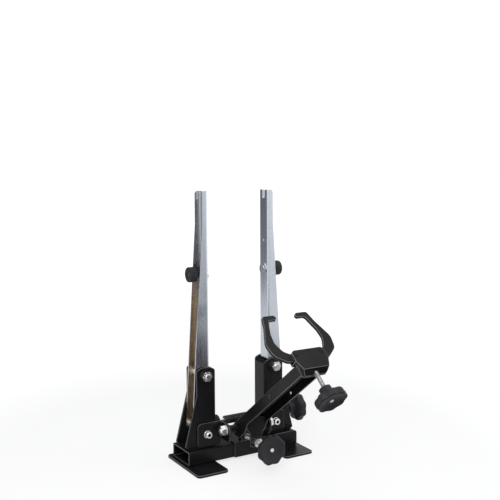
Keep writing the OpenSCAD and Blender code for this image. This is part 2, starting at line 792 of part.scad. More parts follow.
// Points of the wire as [distance along the screw, angle round it]
function spring_steps() = concat(
    [[-spring_half_l, 0]],
    [for (i = [0 : bend_steps])
        [-spring_half_l + spring_wire + bend_run(i)[0],
            bend_run(i)[1] / (spring_d / 2) * 180 / PI]],
    [for (i = [1 : spring_turns * spring_rings - 1])
        [-coil_l / 2 + coil_l * i / (spring_turns * spring_rings),
            bend_turn + 360 * i / spring_rings]],
    [for (i = [bend_steps : -1 : 0])
        [spring_half_l - spring_wire - bend_run(i)[0],
            2 * bend_turn + 360 * spring_turns - bend_run(i)[1] / (spring_d / 2) * 180 / PI]],
    [[spring_half_l, 2 * bend_turn + 360 * spring_turns]]);

function on_coil(s) = [s[0], spring_d / 2 * cos(s[1]), spring_d / 2 * sin(s[1])];
spring_path = [for (s = spring_steps()) on_coil(s)];
spring_angles = [for (s = spring_steps()) s[1]];

function tangent(path, i) = i == 0 || i == len(path) - 1 ? [1, 0, 0]
    : unit(path[i + 1] - path[i - 1]);

// A ring of the wire, turned so that its first point faces away from the screw
function wire_ring(i) =
    let (t = tangent(spring_path, i),
         away = [0, cos(spring_angles[i]), sin(spring_angles[i])],
         out = unit(away - (away * t) * t),
         across = cross(t, out))
    [for (k = [0 : spring_sides - 1])
        spring_path[i] + spring_wire / 2
            * (out * cos(360 * k / spring_sides) + across * sin(360 * k / spring_sides))];

function wire_faces(n, m) = concat(
    [for (k = [1 : m - 2]) [0, k, k + 1]],
    [for (i = [0 : n - 2], k = [0 : m - 1])
        each [[i * m + k, (i + 1) * m + k, (i + 1) * m + (k + 1) % m],
            [i * m + k, (i + 1) * m + (k + 1) % m, i * m + (k + 1) % m]]],
    [for (k = [1 : m - 2]) [(n - 1) * m, (n - 1) * m + k + 1, (n - 1) * m + k]]);

// Least gap of the wire to itself, between points at least half a turn apart
spring_gap = min([for (i = [0 : len(spring_path) - 1],
    j = [i + spring_rings / 2 : len(spring_path) - 1])
        norm(spring_path[i] - spring_path[j])]) - spring_wire;

module rod_spring() color(black) bench() translate([0, 0, rod_z]) {
    echo(spring_gap = spring_gap);
    polyhedron(points = [for (i = [0 : len(spring_path) - 1]) each wire_ring(i)],
        faces = wire_faces(len(spring_path), spring_sides));
}

// ---- Caliper arm ----

// Channel with its back away from the user; its flanges deepen into lugs at the shaft
module caliper_arm() color(black) difference() {
    arm_frame() difference() {
        plate_yz(-arm_w / 2, arm_w / 2)
            polygon(rounded([[arm_rear, -lug_drop / 2, 8], [arm_rear, arm_back, 8],
                [-arm_l - past_head, arm_back, 0], [-arm_l - past_head, -arm_front, 0],
                [-lug_reach - lug_drop, -arm_front, 12], [-lug_reach, -lug_drop, 12],
                [0, -lug_drop, 8]]));
        translate([-arm_in, -arm_l - past_head - cut, -lug_drop - cut])
            cube([2 * arm_in, arm_l + past_head + arm_rear + 2 * cut,
                lug_drop + arm_back - arm_t + cut]);
        translate([-arm_w, 0, 0]) along_x() cylinder(d = pivot_d + 2 * run_fit, h = 2 * arm_w);
        translate([-arm_w, -cross_at, (arm_back - arm_front) / 2]) along_x()
            cylinder(d = cross_d, h = 2 * arm_w);
    }
    head_frame() translate([-arm_w, -big / 2, head_under]) cube([2 * arm_w, big, big]);
}

// Plate between the arm's sides that hangs down to the height screw
module arm_tail() color(black) bench() difference() {
    plate_xz(tail_front, tail_back)
        polygon(rounded([[-tail_neck_half, tail_low, 6], [tail_neck_half, tail_low, 6],
            [tail_neck_half, tail_neck_z, 4], [arm_in, tail_wide_z, 3],
            [arm_in, tail_high - 8, 8], [0, tail_high, 30], [-arm_in, tail_high - 8, 8],
            [-arm_in, tail_wide_z, 3], [-tail_neck_half, tail_neck_z, 4]]));
    translate([0, tail_front - cut, screw_z]) along_y()
        cylinder(d = screw_d + 2 * screw_play, h = tail_t + 2 * cut);
}

module tail_nut() color(zinc) bench() translate([0, tail_front - tail_nut_h, screw_z])
    along_y() hex_nut(tail_nut_af, tail_nut_h, screw_d + 2 * run_fit);

// ---- Height screw ----

// Domed button that pushes on the stop lug while the screw turns in it
module height_pad() color(steel) bench()
    translate([0, pad_tip_y, screw_z]) rotate([90, 0, 0]) difference() {
        intersection() {
            cylinder(d = pad_d, h = pad_l);
            translate([0, 0, pad_dome_r]) union() {
                sphere(r = pad_dome_r);
                cylinder(r = pad_dome_r, h = pad_l);
            }
        }
        translate([0, 0, pad_l - spigot_l - face_gap])
            cylinder(d = neck_d + 2 * run_fit, h = pad_l);
    }

module height_screw() color(zinc) bench() {
    back_y = pad_tip_y - pad_l - face_gap;
    face_y = height_knob_y - knob_bore_l - screw_proud;
    translate([0, face_y, screw_z]) along_y() cylinder(d = screw_d, h = back_y - face_y);
    translate([0, back_y, screw_z]) along_y() cylinder(d = neck_d, h = spigot_l);
}

module height_knob() color(knob_black) bench()
    translate([0, height_knob_y, screw_z]) rotate([90, 0, 0]) knob();

// ---- Caliper head ----

module head_outline() polygon(rounded([[-head_low_half, -head_down, 5],
    [head_low_half, -head_down, 5], [head_half_w - 5, -15, 6], [head_half_w, -3, 5],
    [head_half_w, head_up, 8], [-head_half_w, head_up, 8], [-head_half_w, -3, 5],
    [5 - head_half_w, -15, 6]]));

// Wedges that slope the lower sides of the head in towards the arm
module head_slopes() both_sides() rotate([90, 0, 0]) translate([0, 0, slope_top])
    linear_extrude(big) polygon([[head_half_w, head_face], [head_back_half, head_under - cut],
        [big, head_under - cut], [big, head_face]]);

module pin_holes() for (s = [-1, 1]) translate([s * jaw_pivot_x, jaw_pivot_s, -big / 2])
    cylinder(d = jaw_pin_d + 2 * run_fit, h = big);

module head_back() color(black) head_frame() difference() {
    translate([0, 0, head_under]) linear_extrude(head_t) head_outline();
    head_slopes();
    pin_holes();
}

// Cover with a thick lower edge that is threaded for the jaw screw
module head_cover() color(black) head_frame() difference() {
    intersection() {
        translate([0, 0, head_floor]) linear_extrude(head_face - head_floor) head_outline();
        plate_yz(-big, big) polygon([[-head_down, head_floor - cut], [head_up + cut, head_floor - cut],
            [head_up + cut, head_face], [thread_edge - head_down, head_face], [-head_down, 0]]);
    }
    translate([0, 0, head_floor - cut]) linear_extrude(head_ceil - head_floor + cut) difference() {
        polygon([[-cavity_half_top, head_up + cut], [-cavity_half_top, cavity_side_s],
            [-cavity_half_mid, cavity_mid_s], [-cavity_half_low, cavity_low],
            [cavity_half_low, cavity_low], [cavity_half_mid, cavity_mid_s],
            [cavity_half_top, cavity_side_s], [cavity_half_top, head_up + cut]]);
        translate([-top_wall_half, head_up - top_wall])
            square([2 * top_wall_half, top_wall + 2 * cut]);
    }
    for (s = [-1, 1]) side(s) translate([mouth_x, head_wall_s, head_floor - cut])
        cube([big, big, head_ceil - head_floor + cut]);
    translate([0, -big / 2, jaw_mid]) along_y()
        cylinder(d = screw_d + 2 * run_fit, h = big / 2);
    head_slopes();
    pin_holes();
}

module jaw_pins() color(black) head_frame() for (s = [-1, 1])
    translate([s * jaw_pivot_x, jaw_pivot_s, head_under]) {
        cylinder(d = jaw_pin_d, h = head_face - head_under);
        translate([0, 0, head_face - head_under])
            cylinder(r1 = pin_head_r, r2 = pin_head_r - 1, h = pin_head_h);
    }

// Washers above and below each jaw
module jaw_washers() color(steel) head_frame() for (s = [-1, 1])
    translate([s * jaw_pivot_x, jaw_pivot_s, 0]) {
        jaw_low = jaw_mid - jaw_t / 2;
        jaw_high = jaw_mid + jaw_t / 2;
        translate([0, 0, head_floor])
            ring(2 * jaw_boss_r - 2, jaw_pin_d + 2 * run_fit, jaw_low - face_gap - head_floor);
        translate([0, 0, jaw_high + face_gap])
            ring(2 * jaw_boss_r - 2, jaw_pin_d + 2 * run_fit, head_ceil - jaw_high - face_gap);
    }

// ---- Jaws ----

module jaw(s) color(black) head_frame() side(s)
    translate([0, 0, jaw_mid - jaw_t / 2]) difference() {
        linear_extrude(jaw_t) {
            polygon(rounded([[jaw_pivot_x, jaw_pivot_s - jaw_boss_r, 0],
                [jaw_pivot_x + 17, jaw_pivot_s - jaw_boss_r, 14],
                [jaw_half_w - 4.5, 20, 18], [jaw_half_w, bend_s, 24], [shoulder_x, shoulder_s, 30],
                [shoulder_x - 6, tip_s, 6], [tip_half + 4, tip_s, 3], [tip_half, tip_s - 6, 1.5],
                [tip_half + 3, tip_s - jaw_tip_h, 2],
                [shoulder_x - 5 - jaw_neck_w, tip_s - jaw_tip_h, 5],
                [jaw_half_w - jaw_bend_w - 2, bend_s + 20, 30],
                [jaw_half_w - jaw_bend_w, bend_s, 20], [43, 26.5, 16],
                [jaw_pivot_x, jaw_pivot_s + 4, 0]]));
            translate([jaw_pivot_x, jaw_pivot_s]) circle(r = jaw_boss_r);
            translate([lever_x, lever_s]) circle(r = lever_r);
            reach = [jaw_pivot_x - lever_x, jaw_pivot_s - lever_s];
            translate([lever_x, lever_s]) rotate(heading(reach))
                translate([0, -lever_half]) square([norm(reach), 2 * lever_half]);
        }
        translate([jaw_pivot_x, jaw_pivot_s, -cut])
            cylinder(d = jaw_pin_d + 2 * run_fit, h = jaw_t + 2 * cut);
    }

module jaw_left() jaw(-1);
module jaw_right() jaw(1);

// Block that holds both lever ends in its side slots and the jaw screw in its T slot
module jaw_spreader() color(steel) head_frame() difference() {
    translate([-spreader_half_w, spreader_low, jaw_mid - spreader_half_n])
        cube([2 * spreader_half_w, spreader_high - spreader_low, 2 * spreader_half_n]);
    for (s = [-1, 1]) side(s)
        translate([spreader_web_half, lever_s - slot_half, jaw_mid - spreader_half_n - cut])
            cube([spreader_half_w, 2 * slot_half, 2 * (spreader_half_n + cut)]);
    translate([0, spreader_low - cut, jaw_mid]) {
        slot_d = neck_d + 2 * screw_play;
        along_y() cylinder(d = slot_d, h = neck_l + 2 * cut);
        translate([-slot_d / 2, 0, 0]) cube([slot_d, neck_l + 2 * cut, spreader_half_n + cut]);
    }
    translate([0, spreader_low + neck_l, jaw_mid]) {
        pocket_d = collar_d + 2 * screw_play;
        along_y() cylinder(d = pocket_d, h = collar_pocket);
        translate([-pocket_d / 2, 0, 0])
            cube([pocket_d, collar_pocket, spreader_half_n + cut]);
    }
}

module jaw_screw() color(zinc) head_frame() {
    face_s = -jaw_knob_s - knob_bore_l - screw_proud;
    shank_s = spreader_low - face_gap;
    collar_s = spreader_low + neck_l + face_gap;
    translate([0, face_s, jaw_mid]) along_y() cylinder(d = screw_d, h = shank_s - face_s);
    translate([0, shank_s, jaw_mid]) along_y() cylinder(d = neck_d, h = collar_s - shank_s);
    translate([0, collar_s, jaw_mid]) along_y() cylinder(d = collar_d, h = collar_l);
}

module jaw_knob() color(knob_black) head_frame()
    translate([0, -jaw_knob_s, jaw_mid]) rotate([90, 0, 0]) knob();

base_tube();
foot_plate_left();
foot_plate_right();
saddle_plate();
stop_lug();
bracket_left();
bracket_right();
rod_bushes();
caliper_mount_left();
caliper_mount_right();
mount_screws();
mount_washers();
pivot_bolts();
pivot_nuts();
pivot_washers();
thrust_washers();
pivot_spacers();
arm_shaft();
arm_shaft_nut();
arm_shaft_washers();
arm_spacers();
upright_left();
upright_right();
adapter_pin_left();
adapter_pin_right();
adapter_nut_left();
adapter_nut_right();
trunnion_left();
trunnion_right();
width_rod();
rod_nuts();
rod_spring();
width_knob();
caliper_arm();
arm_tail();
tail_nut();
head_back();
head_cover();
jaw_pins();
jaw_washers();
height_pad();
height_screw();
height_knob();
jaw_left();
jaw_right();
jaw_spreader();
jaw_screw();
jaw_knob();
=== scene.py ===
"""Bicycle wheel truing stand: finish, fine detail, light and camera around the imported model.

Everything is in metres, in the model's own frame: X from the left upright to the right one,
Y away from the user, Z up, with the origin midway between the slots at their tops.
"""

import json
import math

import bmesh
import bpy
import numpy as np
from mathutils import Matrix, Vector


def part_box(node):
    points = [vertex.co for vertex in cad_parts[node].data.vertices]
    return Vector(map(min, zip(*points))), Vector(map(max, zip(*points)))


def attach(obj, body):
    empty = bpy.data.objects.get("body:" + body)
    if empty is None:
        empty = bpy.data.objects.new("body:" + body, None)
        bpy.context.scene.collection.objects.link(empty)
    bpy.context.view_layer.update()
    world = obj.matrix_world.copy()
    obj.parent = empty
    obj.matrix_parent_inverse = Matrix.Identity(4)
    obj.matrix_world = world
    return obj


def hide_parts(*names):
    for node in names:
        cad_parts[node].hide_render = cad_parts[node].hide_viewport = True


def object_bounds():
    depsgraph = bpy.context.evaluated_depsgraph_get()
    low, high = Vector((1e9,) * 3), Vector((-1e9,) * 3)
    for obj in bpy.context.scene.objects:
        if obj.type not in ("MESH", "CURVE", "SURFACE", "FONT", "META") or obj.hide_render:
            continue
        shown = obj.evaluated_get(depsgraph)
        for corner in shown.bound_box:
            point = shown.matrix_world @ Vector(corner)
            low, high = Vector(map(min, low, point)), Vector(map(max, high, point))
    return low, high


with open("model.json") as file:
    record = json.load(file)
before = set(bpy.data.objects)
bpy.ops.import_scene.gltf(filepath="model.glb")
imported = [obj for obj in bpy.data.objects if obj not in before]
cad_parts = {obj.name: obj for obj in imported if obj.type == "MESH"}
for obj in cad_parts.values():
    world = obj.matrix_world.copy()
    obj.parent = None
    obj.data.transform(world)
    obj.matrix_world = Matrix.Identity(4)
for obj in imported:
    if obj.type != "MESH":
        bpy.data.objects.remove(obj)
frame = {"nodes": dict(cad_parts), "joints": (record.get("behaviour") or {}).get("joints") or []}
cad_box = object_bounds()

MM = 0.001
FULL_TURN = 2 * math.pi
JOINTS = {joint["name"]: joint for joint in frame["joints"]}

# Camera, from the photograph
CAMERA_AT = (-0.7990, -1.3891, 0.0656)
CAMERA_YAW = 0.541  # from +Y towards +X
CAMERA_PITCH = 0.107  # below the horizon
CAMERA_ROLL = -0.004
CAMERA_LENS = 58.46  # mm
CAMERA_SENSOR_W = 36  # mm
CAMERA_CLIP = (0.05, 100)

# Lamps that face the middle of the model: place, size, brightness
SOFTBOXES = {
    "key": ((-1.1, -1.5, 0.9), (1.4, 1.4), 4.2),
    "top": ((0.1, -0.1, 1.5), (1.6, 1.6), 1.3),
    "fill": ((1.7, -0.9, 0.3), (1.2, 1.6), 1.3),
}
AMBIENT = (0.93, 0.96, 1.0)
AMBIENT_STRENGTH = 0.35

# Dark cards that face the middle of the model: place, size, shade
FLAGS = {
    "back_flag": ((0.55, 2.1, 0.2), (1.3, 1.6), (0.02, 0.02, 0.02)),
    "left_flag": ((-1.0, 1.7, -0.1), (2.6, 2.4), (0.20, 0.21, 0.24)),
    "front_flag": ((0.45, -2.0, -0.40), (1.3, 0.24), (0.20, 0.21, 0.24)),
}

# The dark card that lies just above the floor and faces up
FLOOR_FLAG_AT = (0.15, -0.85)
FLOOR_FLAG_LIFT = 2 * MM
FLOOR_FLAG_SIZE = (0.75, 1.1)
FLOOR_FLAG_SHADE = (0.10, 0.11, 0.13)

# Floor
FLOOR_SIZE = 60
FLOOR_COLOUR = 0.8  # as the light that it gives back sees it
FLOOR_ROUGH = 0.9
FLOOR_LIT = 0.3  # part of the seen floor that takes light and shadow
FLOOR_GLOW = 0.72  # the rest of its white near the model; 1 far off
FLOOR_GLOW_SPAN = (0.5, 1.4)  # distances from the middle of the floor

# Noise stays near 0.5: the part of it that a finish spreads over its own range
BROAD = (0.3, 0.7)
NARROW = (0.35, 0.65)
RUBBED = (0.4, 0.7)
SPECKS = (0.62, 0.78)

# Finishes: colours in linear light and roughness, each as the two ends of a range
PAINT_COLOURS = ((0.0045, 0.0045, 0.0053), (0.0080, 0.0078, 0.0088))
PAINT_ROUGH = (0.30, 0.40)
PAINT_SPECULAR = 0.16
# The rounded edges of painted parts: glossier, and lighter than the coat as a painted highlight along
# them
PAINT_EDGE_HIGHLIGHT_COLOURS = ((0.085, 0.085, 0.090), (0.120, 0.119, 0.123))
PAINT_EDGE_ROUGH = (0.24, 0.34)
PAINT_EDGE_SPECULAR = 0.6
DUST_COLOUR = (0.09, 0.088, 0.085)
DUST_COVER = 0.06
PLASTIC_COLOURS = ((0.0155, 0.0150, 0.0175), (0.0205, 0.0200, 0.0230))
PLASTIC_ROUGH = (0.44, 0.58)
PLASTIC_SPECULAR = 0.22
CHROME_COLOURS = ((0.46, 0.49, 0.54), (0.56, 0.59, 0.64))
CHROME_ROUGH = (0.20, 0.30)
# Painted reflection on the uprights' inner faces: warm and streaked low down, grey higher up
INSIDE_LOW_REFLECTION_COLOURS = ((0.56, 0.49, 0.40), (0.74, 0.67, 0.58))
INSIDE_HIGH_REFLECTION_COLOUR = (0.50, 0.50, 0.53)
ZINC_COLOURS = ((0.62, 0.63, 0.65), (0.78, 0.78, 0.78))
ZINC_HEAD_COLOURS = ((0.66, 0.67, 0.68), (0.80, 0.80, 0.80))
ZINC_THREAD_COLOURS = ((0.36, 0.345, 0.33), (0.50, 0.48, 0.46))
ZINC_ROUGH = (0.20, 0.34)
# Painted shade in the hexagon sockets of the mount screws' heads
SOCKET_PAINTED_SHADE = (0.012, 0.012, 0.013)
STEEL_COLOURS = ((0.30, 0.30, 0.31), (0.46, 0.46, 0.46))
STEEL_ROUGH = (0.28, 0.42)
SPRING_COLOURS = ((0.006, 0.006, 0.007), (0.020, 0.019, 0.019))
SPRING_ROUGH = (0.30, 0.44)
SPRING_SPECULAR = 0.35

# Depths of the bumps
PEEL_DEPTH = 0.05 * MM
GRAIN_DEPTH = 0.1 * MM
DRAWN_DEPTH = 0.02 * MM
TUMBLED_DEPTH = 0.03 * MM
WIRE_DEPTH = 0.02 * MM

# Masks
MASK_FADE = 0.2 * MM
INSIDE_FROM_WEB = (2.2 * MM, 2.6 * MM)  # the inside starts between these, from the web's face
INSIDE_FROM_FLANGE = 2.3 * MM
REFLECTION_BELOW = 60 * MM  # the painted reflection inside changes colour from here below the adapters
REFLECTION_ABOVE = 40 * MM  # to here above them
SOCKET_R = 3.9 * MM
SOCKET_FROM = 0.3 * MM  # behind the front of the screw's head

# Edges
SMOOTH_ANGLE = 35
BEVEL_ANGLE = 32
BEVEL_SEGMENTS = 2
FLAT_ANGLE = 0.2
WELD_WITHIN = 0.001 * MM
QUARTER_STEPS = 6
NEAR_VERTICAL = 0.9

# Screws
SCREW_R = 4 * MM
SCREW_PITCH = 1.25 * MM
SCREW_NECK_R = 3 * MM
SCREW_AROUND = 32
HEIGHT_SPIGOT_L = 2.8 * MM
JAW_COLLAR_R = 4.5 * MM
JAW_COLLAR_L = 2.8 * MM
JAW_NECK_L = 2.65 * MM
ROD_R = 5 * MM
ROD_PITCH = 1.5 * MM
ROD_PLAIN = 0.5 * MM  # from the end of its thread to the plain shank
ROD_THREAD_GAP = 1 * MM  # from the spring to the thread
THREAD_DEPTH = 0.5  # share of the pitch
THREAD_FLANK = 2.4
THREAD_ROOT = 0.45
THREAD_STEPS = 8  # rings in a pitch
THREAD_STOP = 1 * MM  # short of the knob
SHANK_START = 0.6 * MM  # short of the knob
END_CHAMFER = 0.5 * MM

# Lobed knobs. Pairs are a place along the axis and a step outwards, or an inset for the flare.
KNOB_LOBES = 8
KNOB_AROUND = 192
KNOB_HOLLOW = 3.4 * MM
KNOB_HOLLOW_R = 26 * MM
KNOB_SOFTEN = 5  # steps each way over which the corners of the lobes are averaged
KNOB_BORE_PLAY = 0.05 * MM
KNOB_NECK_R = 11.5 * MM
KNOB_NECK_L = 12.5 * MM
KNOB_FLUTE = 0.9 * MM  # depth of the flutes on the neck
KNOB_FLUTE_FROM = 1 * MM
KNOB_NECK_END = [(0, -1.6 * MM), (0.4 * MM, -1 * MM)]
KNOB_NECK_ROOT = [(-2 * MM, 0), (-0.6 * MM, 0.5 * MM), (0, 1.6 * MM)]
KNOB_FLARE = [(0.6 * MM, 13 * MM), (2.2 * MM, 6 * MM), (3.6 * MM, 3 * MM), (5.2 * MM, 1.2 * MM),
              (7 * MM, 0.3 * MM), (8.5 * MM, 0)]  # back of the knob, from the neck outwards
KNOB_SIDE = 0.65  # share of the head's length at which the side is straight
KNOB_EDGE = 3 * MM
KNOB_DISH = 3.5 * MM
KNOB_DISH_EDGE = 6 * MM  # from the outside to the dish
KNOB_DISH_LIP = [(0, 0.5 * MM), (0.12 * MM, 0.1 * MM), (0.4 * MM, -0.6 * MM)]
KNOB_DISH_FOOT = [(0.15 * MM, 0.5 * MM), (0, -0.3 * MM)]

# Thumb nuts of the stored adapters
THUMB_NECK_R = 7 * MM
THUMB_NECK_L = 19 * MM
THUMB_NECK_EDGE = 0.4 * MM
THUMB_NECK_ROOT = 0.8 * MM
THUMB_AROUND = 240
THUMB_RIBS = 20
THUMB_RIB_DEPTH = 0.7 * MM
THUMB_RIB_SHARPNESS = 3.0
THUMB_EDGE = 1.5 * MM
THUMB_DISH = 0.5 * MM
THUMB_DISH_LIP = 0.72  # share of the nut's radius
THUMB_DISH_FOOT = 0.68
STUD_HOLE_R = 4.2 * MM

# Spring
SPRING_R = 7.5 * MM
SPRING_WIRE_R = 1.125 * MM
SPRING_WIRE_AROUND = 10
SPRING_TURNS = 18
SPRING_TURN_STEPS = 24
SPRING_BEND_L = 6 * MM
SPRING_BEND_STEPS = 12

# Widths of the rounded edges, and the nodes that have them
PAINTED_EDGES = {
    0.6 * MM: ["base_tube", "saddle_plate", "stop_lug", "bracket_left", "bracket_right",
               "caliper_mount_left", "caliper_mount_right", "caliper_arm", "arm_tail"],
    0.8 * MM: ["foot_plate_left", "foot_plate_right", "head_back", "jaw_left", "jaw_right",
               "head_cover"],
}
METAL_EDGES = {
    0.4 * MM: ["jaw_spreader"],
    0.35 * MM: ["pivot_nuts", "pivot_bolts", "arm_shaft_nut", "arm_shaft", "rod_nuts", "tail_nut"],
    0.25 * MM: ["pivot_washers", "mount_washers", "arm_shaft_washers", "thrust_washers"],
}

# Finishes of the nodes that keep their mesh
SLOT_NODES = {
    "black_paint": ["base_tube", "foot_plate_left", "foot_plate_right", "saddle_plate",
                    "stop_lug", "bracket_left", "bracket_right", "rod_bushes",
                    "caliper_mount_left", "caliper_mount_right", "pivot_washers", "arm_spacers",
                    "caliper_arm", "arm_tail", "head_back", "head_cover", "jaw_pins",
                    "jaw_left", "jaw_right"],
    "chrome_plate": ["adapter_pin_left", "adapter_pin_right"],
    "zinc_plate": ["mount_washers", "pivot_bolts", "pivot_nuts", "pivot_spacers", "arm_shaft",
                   "arm_shaft_nut", "arm_shaft_washers", "rod_nuts", "tail_nut"],
    "plain_steel": ["thrust_washers", "trunnion_left", "trunnion_right", "jaw_washers",
                    "height_pad", "jaw_spreader"],
}


# ---- Finishes ----


class Finish:
    """A material whose colour, gloss and grain are worked out from the object's coordinates."""

    def __init__(self, name, metallic=0.0, specular=0.5):
        self.material = bpy.data.materials.new(name)
        self.material.use_nodes = True
        self.tree = self.material.node_tree
        self.shader = self.tree.nodes["Principled BSDF"]
        self.shader.inputs["Metallic"].default_value = metallic
        self.shader.inputs["Specular IOR Level"].default_value = specular
        self.coords = self.tree.nodes.new("ShaderNodeTexCoord").outputs["Object"]

    def node(self, kind, values=(), **settings):
        """A new node; a value that is a socket is linked, any other is set."""
        made = self.tree.nodes.new(kind)
        for key, value in settings.items():
            setattr(made, key, value)
        for key, value in dict(values).items():
            if isinstance(value, bpy.types.NodeSocket):
                self.tree.links.new(value, made.inputs[key])
            else:
                made.inputs[key].default_value = value
        return made

    def noise(self, size, stretch=(1, 1, 1), detail=3.0):
        """Noise from 0 to 1 whose features are about size metres, drawn out by stretch."""
        scale = [1 / (size * s) for s in stretch]
        place = self.node("ShaderNodeMapping", {"Vector": self.coords, "Scale": scale})
        made = self.node(
            "ShaderNodeTexNoise",
            {"Vector": place.outputs["Vector"], "Scale": 1.0, "Detail": detail},
        )
        return made.outputs["Fac"]

    def span(self, value, low, high, at_low=0.0, at_high=1.0):
        """Carries value from low..high over to at_low..at_high."""
        made = self.node(
            "ShaderNodeMapRange",
            {"Value": value, "From Min": low, "From Max": high, "To Min": at_low, "To Max": at_high},
        )
        return made.outputs["Result"]

    def maths(self, operation, a, b=0.0):
        made = self.node("ShaderNodeMath", {0: a, 1: b}, operation=operation)
        return made.outputs["Value"]

    def blend(self, share, a, b):
        """Colour a where share is 0 and b where it is 1."""
        colours = [(*c, 1.0) if isinstance(c, tuple) else c for c in (a, b)]
        made = self.node(
            "ShaderNodeMix", {"Factor": share, "A": colours[0], "B": colours[1]}, data_type="RGBA"
        )
        return made.outputs[2]

    def axis(self, index):
        """The object's own X, Y or Z coordinate in metres."""
        made = self.node("ShaderNodeSeparateXYZ", {"Vector": self.coords})
        return made.outputs[index]

    def bump(self, height, depth):
        made = self.node("ShaderNodeBump", {"Height": height, "Distance": depth, "Strength": 1.0})
        return made.outputs["Normal"]

    def wear(self, colour, roughness, normal):
        """Puts colour, roughness and bumps on the shader, and gives the material."""
        self.tree.links.new(colour, self.shader.inputs["Base Color"])
        self.tree.links.new(roughness, self.shader.inputs["Roughness"])
        self.tree.links.new(normal, self.shader.inputs["Normal"])
        return self.material


def black_paint(name, colours, rough, specular):
    """Satin powder coat: fine orange peel, cloudy gloss and a little dust."""
    f = Finish(name, specular=specular)
    cloud = f.noise(50 * MM)
    peel = f.noise(1.6 * MM, detail=2.0)
    dust = f.span(f.noise(6 * MM, detail=6.0), *SPECKS)
    colour = f.blend(f.span(cloud, *NARROW), *colours)
    colour = f.blend(f.maths("MULTIPLY", dust, DUST_COVER), colour, DUST_COLOUR)
    return f.wear(colour, f.span(cloud, *BROAD, *rough), f.bump(peel, PEEL_DEPTH))


def black_plastic():
    """Moulded plastic with a fine spark-eroded grain."""
    f = Finish("black_plastic", specular=PLASTIC_SPECULAR)
    grain = f.noise(0.7 * MM)
    cloud = f.noise(30 * MM)
    colour = f.blend(f.span(cloud, *NARROW), *PLASTIC_COLOURS)
    return f.wear(colour, f.span(grain, *BROAD, *PLASTIC_ROUGH), f.bump(grain, GRAIN_DEPTH))


def chrome_plate(name, inside=None, reflection_span=()):
    """Satin chrome over drawn steel: faint lines along the upright, and clouding. The inside
    carries a painted reflection: streaked and warmer below the lower end of the given span, and grey
    above its upper end."""
    f = Finish(name, metallic=1.0)
    lines = f.noise(0.9 * MM, stretch=(1, 1, 60), detail=4.0)
    cloud = f.noise(60 * MM, stretch=(1, 1, 3))
    colour = f.blend(f.span(cloud, *BROAD), *CHROME_COLOURS)
    roughness = f.span(lines, *BROAD, *CHROME_ROUGH)
    if inside is not None:
        streaks = f.noise(5 * MM, stretch=(1, 1, 40))
        height = f.span(f.axis(2), *reflection_span)
        low = f.blend(f.span(streaks, *BROAD), *INSIDE_LOW_REFLECTION_COLOURS)
        colour = f.blend(inside(f), colour, f.blend(height, low, INSIDE_HIGH_REFLECTION_COLOUR))
    return f.wear(colour, roughness, f.bump(lines, DRAWN_DEPTH))


def zinc_plate(name, colours, recess=None):
    """Bright zinc, slightly mottled, with rubbed marks; where a mask is given, painted shade darkens
    it.
    """
    f = Finish(name, metallic=1.0)
    mottle = f.noise(4 * MM, detail=5.0)
    marks = f.noise(1.2 * MM, stretch=(1, 6, 1))
    colour = f.blend(f.span(mottle, *NARROW), *colours)
    if recess is not None:
        colour = f.blend(recess(f), colour, SOCKET_PAINTED_SHADE)
    return f.wear(colour, f.span(marks, *BROAD, *ZINC_ROUGH), f.bump(marks, TUMBLED_DEPTH))


def plain_steel():
    """Turned steel with a grey oil film."""
    f = Finish("plain_steel", metallic=1.0)
    film = f.noise(8 * MM, detail=4.0)
    turning = f.noise(0.6 * MM, stretch=(1, 8, 8), detail=2.0)
    colour = f.blend(f.span(film, *NARROW), *STEEL_COLOURS)
    return f.wear(colour, f.span(turning, *BROAD, *STEEL_ROUGH), f.bump(turning, TUMBLED_DEPTH))


def black_spring():
    """Oil-black wire, rubbed lighter in patches."""
    f = Finish("black_spring", specular=SPRING_SPECULAR)
    rub = f.noise(3 * MM, detail=4.0)
    colour = f.blend(f.span(rub, *RUBBED), *SPRING_COLOURS)
    return f.wear(colour, f.span(rub, *BROAD, *SPRING_ROUGH), f.bump(rub, WIRE_DEPTH))


def channel_inside_reflection(web_in, web_out, flange_y):
    """Mask of an upright's inner faces, where a painted reflection goes into the chrome's colour."""

    def mask(f):
        across = f.maths("ABSOLUTE", f.axis(0))
        deep = f.span(across, web_in, web_out)
        between = f.span(f.maths("ABSOLUTE", f.axis(1)), flange_y, flange_y - MASK_FADE)
        return f.maths("MULTIPLY", deep, between)

    return mask


def socket_shade_mask(x, z, front):
    """Mask of the painted shade in the hexagon sockets of two screw heads at +-x, behind their front
    faces.
    """

    def mask(f):
        off_x = f.maths("SUBTRACT", f.maths("ABSOLUTE", f.axis(0)), x)
        off_z = f.maths("SUBTRACT", f.axis(2), z)
        squares = f.maths("ADD", f.maths("MULTIPLY", off_x, off_x), f.maths("MULTIPLY", off_z, off_z))
        within = f.span(f.maths("SQRT", squares), SOCKET_R, SOCKET_R - MASK_FADE)
        behind = f.span(f.axis(1), front + SOCKET_FROM, front + 2 * SOCKET_FROM)
        return f.maths("MULTIPLY", within, behind)

    return mask


# ---- Meshes ----


def add_mesh(name, vertices, faces):
    """A new object, smooth but for its edges over SMOOTH_ANGLE."""
    mesh = bpy.data.meshes.new(name)
    mesh.from_pydata([tuple(v) for v in vertices], [], faces)
    mesh.validate()
    made = bpy.data.objects.new(name, mesh)
    bpy.context.scene.collection.objects.link(made)
    work = bmesh.new()
    work.from_mesh(mesh)
    bmesh.ops.recalc_face_normals(work, faces=work.faces)
    for edge in work.edges:
        sharp = len(edge.link_faces) == 2 and edge.calc_face_angle() > math.radians(SMOOTH_ANGLE)
        edge.smooth = not sharp
    for face in work.faces:
        face.smooth = True
    work.to_mesh(mesh)
    work.free()
    return made


